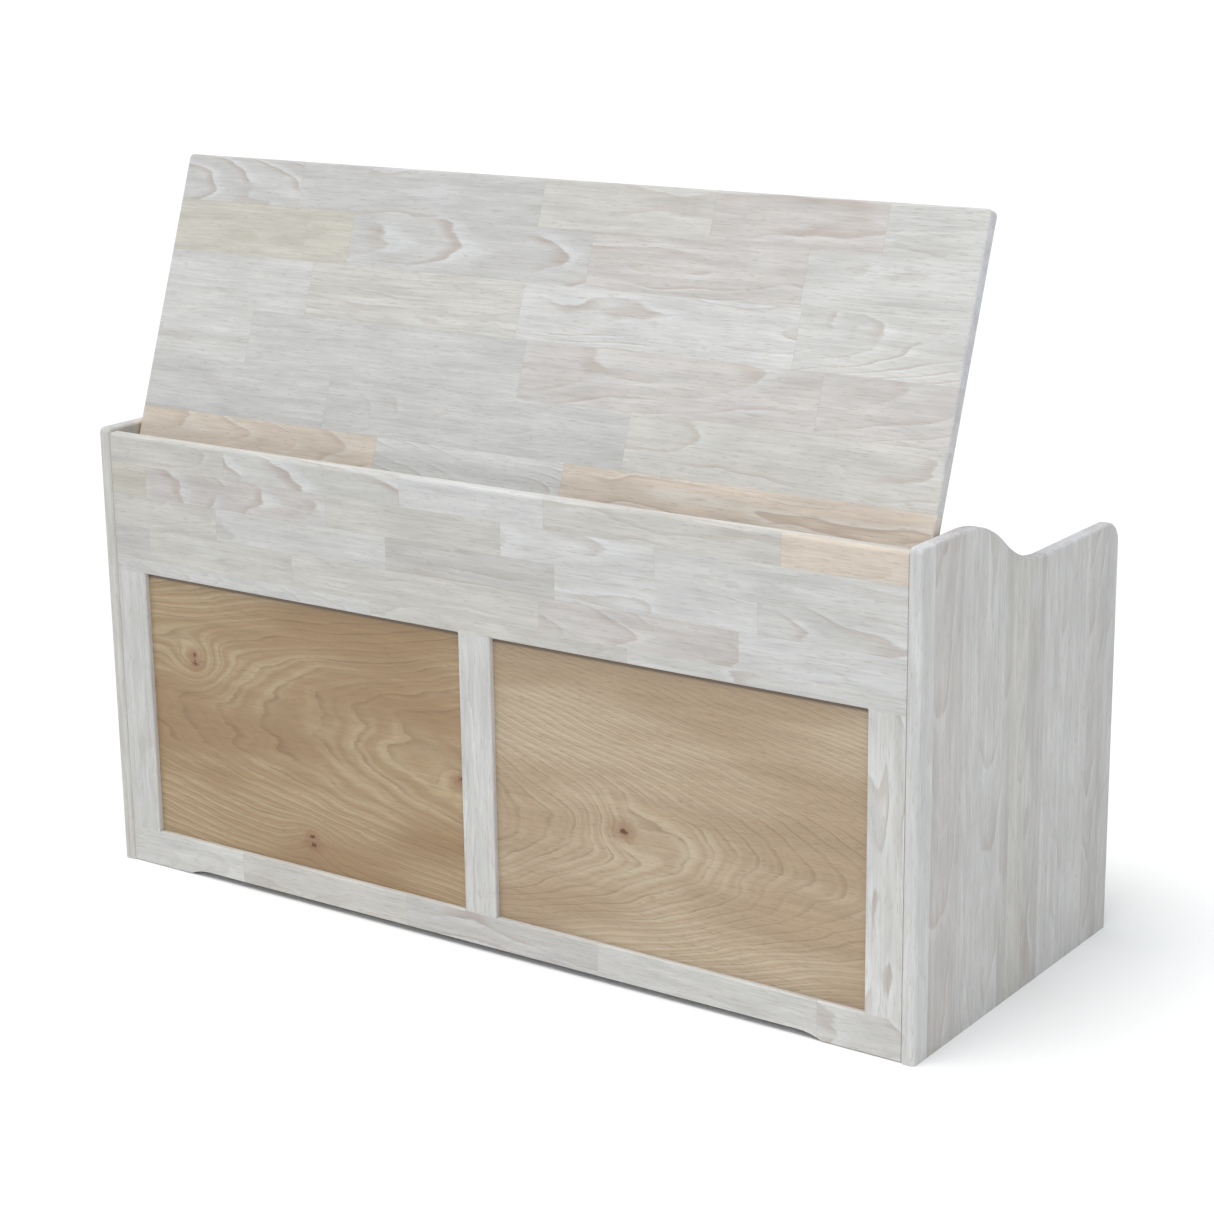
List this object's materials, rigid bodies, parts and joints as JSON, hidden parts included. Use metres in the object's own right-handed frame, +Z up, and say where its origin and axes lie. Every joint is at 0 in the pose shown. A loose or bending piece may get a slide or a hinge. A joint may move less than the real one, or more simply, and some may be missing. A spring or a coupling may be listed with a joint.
{
  "type": "toy box",
  "caption": "Wooden toy box with framed plywood panels, curved side tops, a raised back rail and a lid that friction hinges hold open.",
  "frame": {"origin": "middle of the box's footprint on the floor", "axes": "+X to the right when facing the front, +Y towards the back, where the rail rises above the lid, +Z up"},
  "size_m": [1.016, 0.414, 0.7795],
  "materials": {
    "solid_wood": "unfinished edge-glued rubberwood, planed and sanded",
    "plywood": "unfinished tropical plywood with a rotary-cut face",
    "dowel_wood": "fluted beech dowel",
    "zinc_steel": "zinc plated, satin",
    "nylon": "natural nylon",
    "rubber": "matte"
  },
  "bodies": {
    "box": {"back_bottom_rail": "solid_wood", "back_centre_stile": "solid_wood", "back_cleat": "solid_wood", "back_left_panel": "plywood", "back_left_stile": "solid_wood", "back_right_panel": "plywood", "back_right_stile": "solid_wood", "back_top_rail": "solid_wood", "centre_hinge_pin": "zinc_steel", "centre_hinge_rail_leaf": "zinc_steel", "cleat_screws": "zinc_steel", "floor_panel": "plywood", "floor_screws": "zinc_steel", "frame_dowels": "dowel_wood", "front_bottom_rail": "solid_wood", "front_centre_stile": "solid_wood", "front_cleat": "solid_wood", "front_left_panel": "plywood", "front_left_stile": "solid_wood", "front_right_panel": "plywood", "front_right_stile": "solid_wood", "front_top_rail": "solid_wood", "left_batten": "solid_wood", "left_bumper": "rubber", "left_cleat": "solid_wood", "left_hinge_pin": "zinc_steel", "left_hinge_rail_leaf": "zinc_steel", "left_side_panel": "solid_wood", "rail_hinge_screws": "zinc_steel", "right_batten": "solid_wood", "right_bumper": "rubber", "right_cleat": "solid_wood", "right_hinge_pin": "zinc_steel", "right_hinge_rail_leaf": "zinc_steel", "right_side_panel": "solid_wood"},
    "lid": {"centre_hinge_lid_leaf": "zinc_steel", "centre_hinge_sleeve": "nylon", "left_hinge_lid_leaf": "zinc_steel", "left_hinge_sleeve": "nylon", "lid": "solid_wood", "lid_hinge_screws": "zinc_steel", "right_hinge_lid_leaf": "zinc_steel", "right_hinge_sleeve": "nylon"}
  },
  "joints": [
    {"name": "lid_hinge", "type": "hinge", "parent": "box", "child": "lid", "pos_m": [0, 0.1837, 0.4115], "axis": [1, 0, 0], "range_deg": [-19.5, 70.5]}
  ]
}
